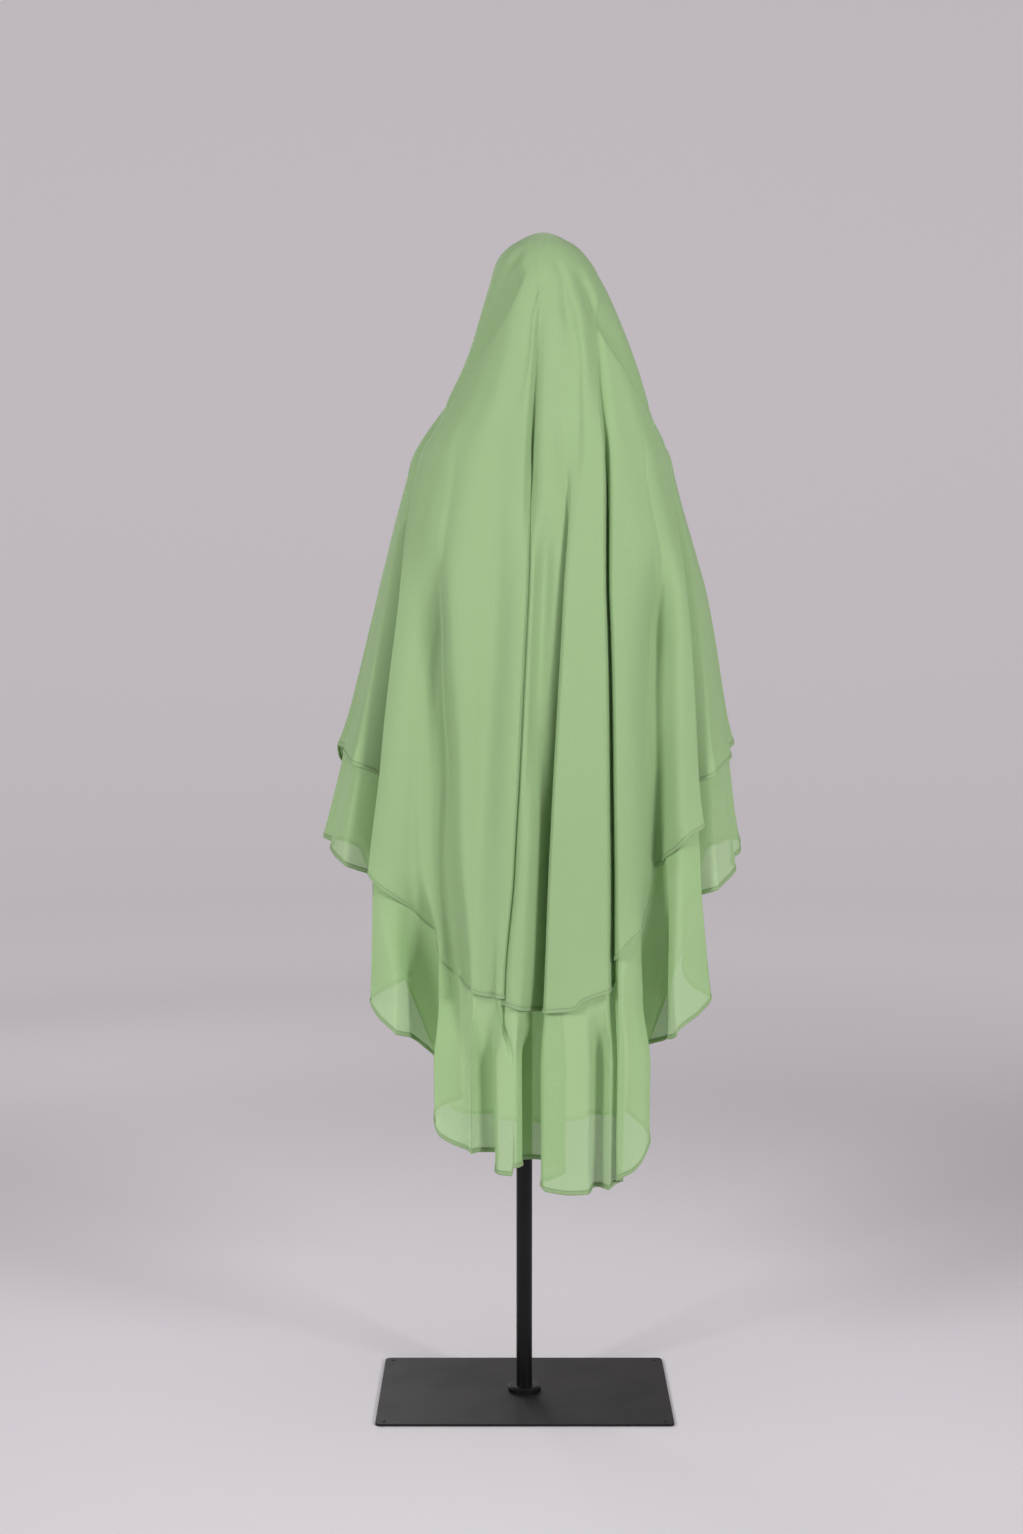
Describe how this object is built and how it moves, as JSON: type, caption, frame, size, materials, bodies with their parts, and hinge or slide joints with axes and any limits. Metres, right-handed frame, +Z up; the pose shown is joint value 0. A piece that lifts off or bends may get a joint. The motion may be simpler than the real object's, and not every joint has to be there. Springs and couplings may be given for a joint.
{
  "type": "khimar veil on a floor stand",
  "caption": "Two-layer khimar: a long hooded cape of thin green cloth with a face opening and stepped hems, hanging in folds on a plain pole stand with a flat plate.",
  "frame": {"origin": "middle of the base plate's underside, on the pole's axis, at the floor", "axes": "+Z up, +Y the way the wearer faces, +X to the wearer's right; the veil's back faces -Y"},
  "size_m": [0.6405, 0.4085, 1.8064],
  "materials": {
    "outer_cloth": "matt crepe chiffon, sage green, a little see-through",
    "inner_cloth": "matt crepe chiffon, sage green, a little see-through",
    "hem_cloth": "turned and stitched edge of the same cloth",
    "plate_paint": "dark grey satin powder coat",
    "pole_paint": "black satin paint"
  },
  "bodies": {
    "root": {"outer_layer": "outer_cloth", "inner_layer": "inner_cloth", "outer_hem": "hem_cloth", "inner_hem": "hem_cloth", "face_binding": "hem_cloth", "base_plate": "plate_paint", "collar": "pole_paint", "pole": "pole_paint", "corner_stud_1": "pole_paint", "corner_stud_2": "pole_paint", "corner_stud_3": "pole_paint", "corner_stud_4": "pole_paint"}
  },
  "joints": []
}
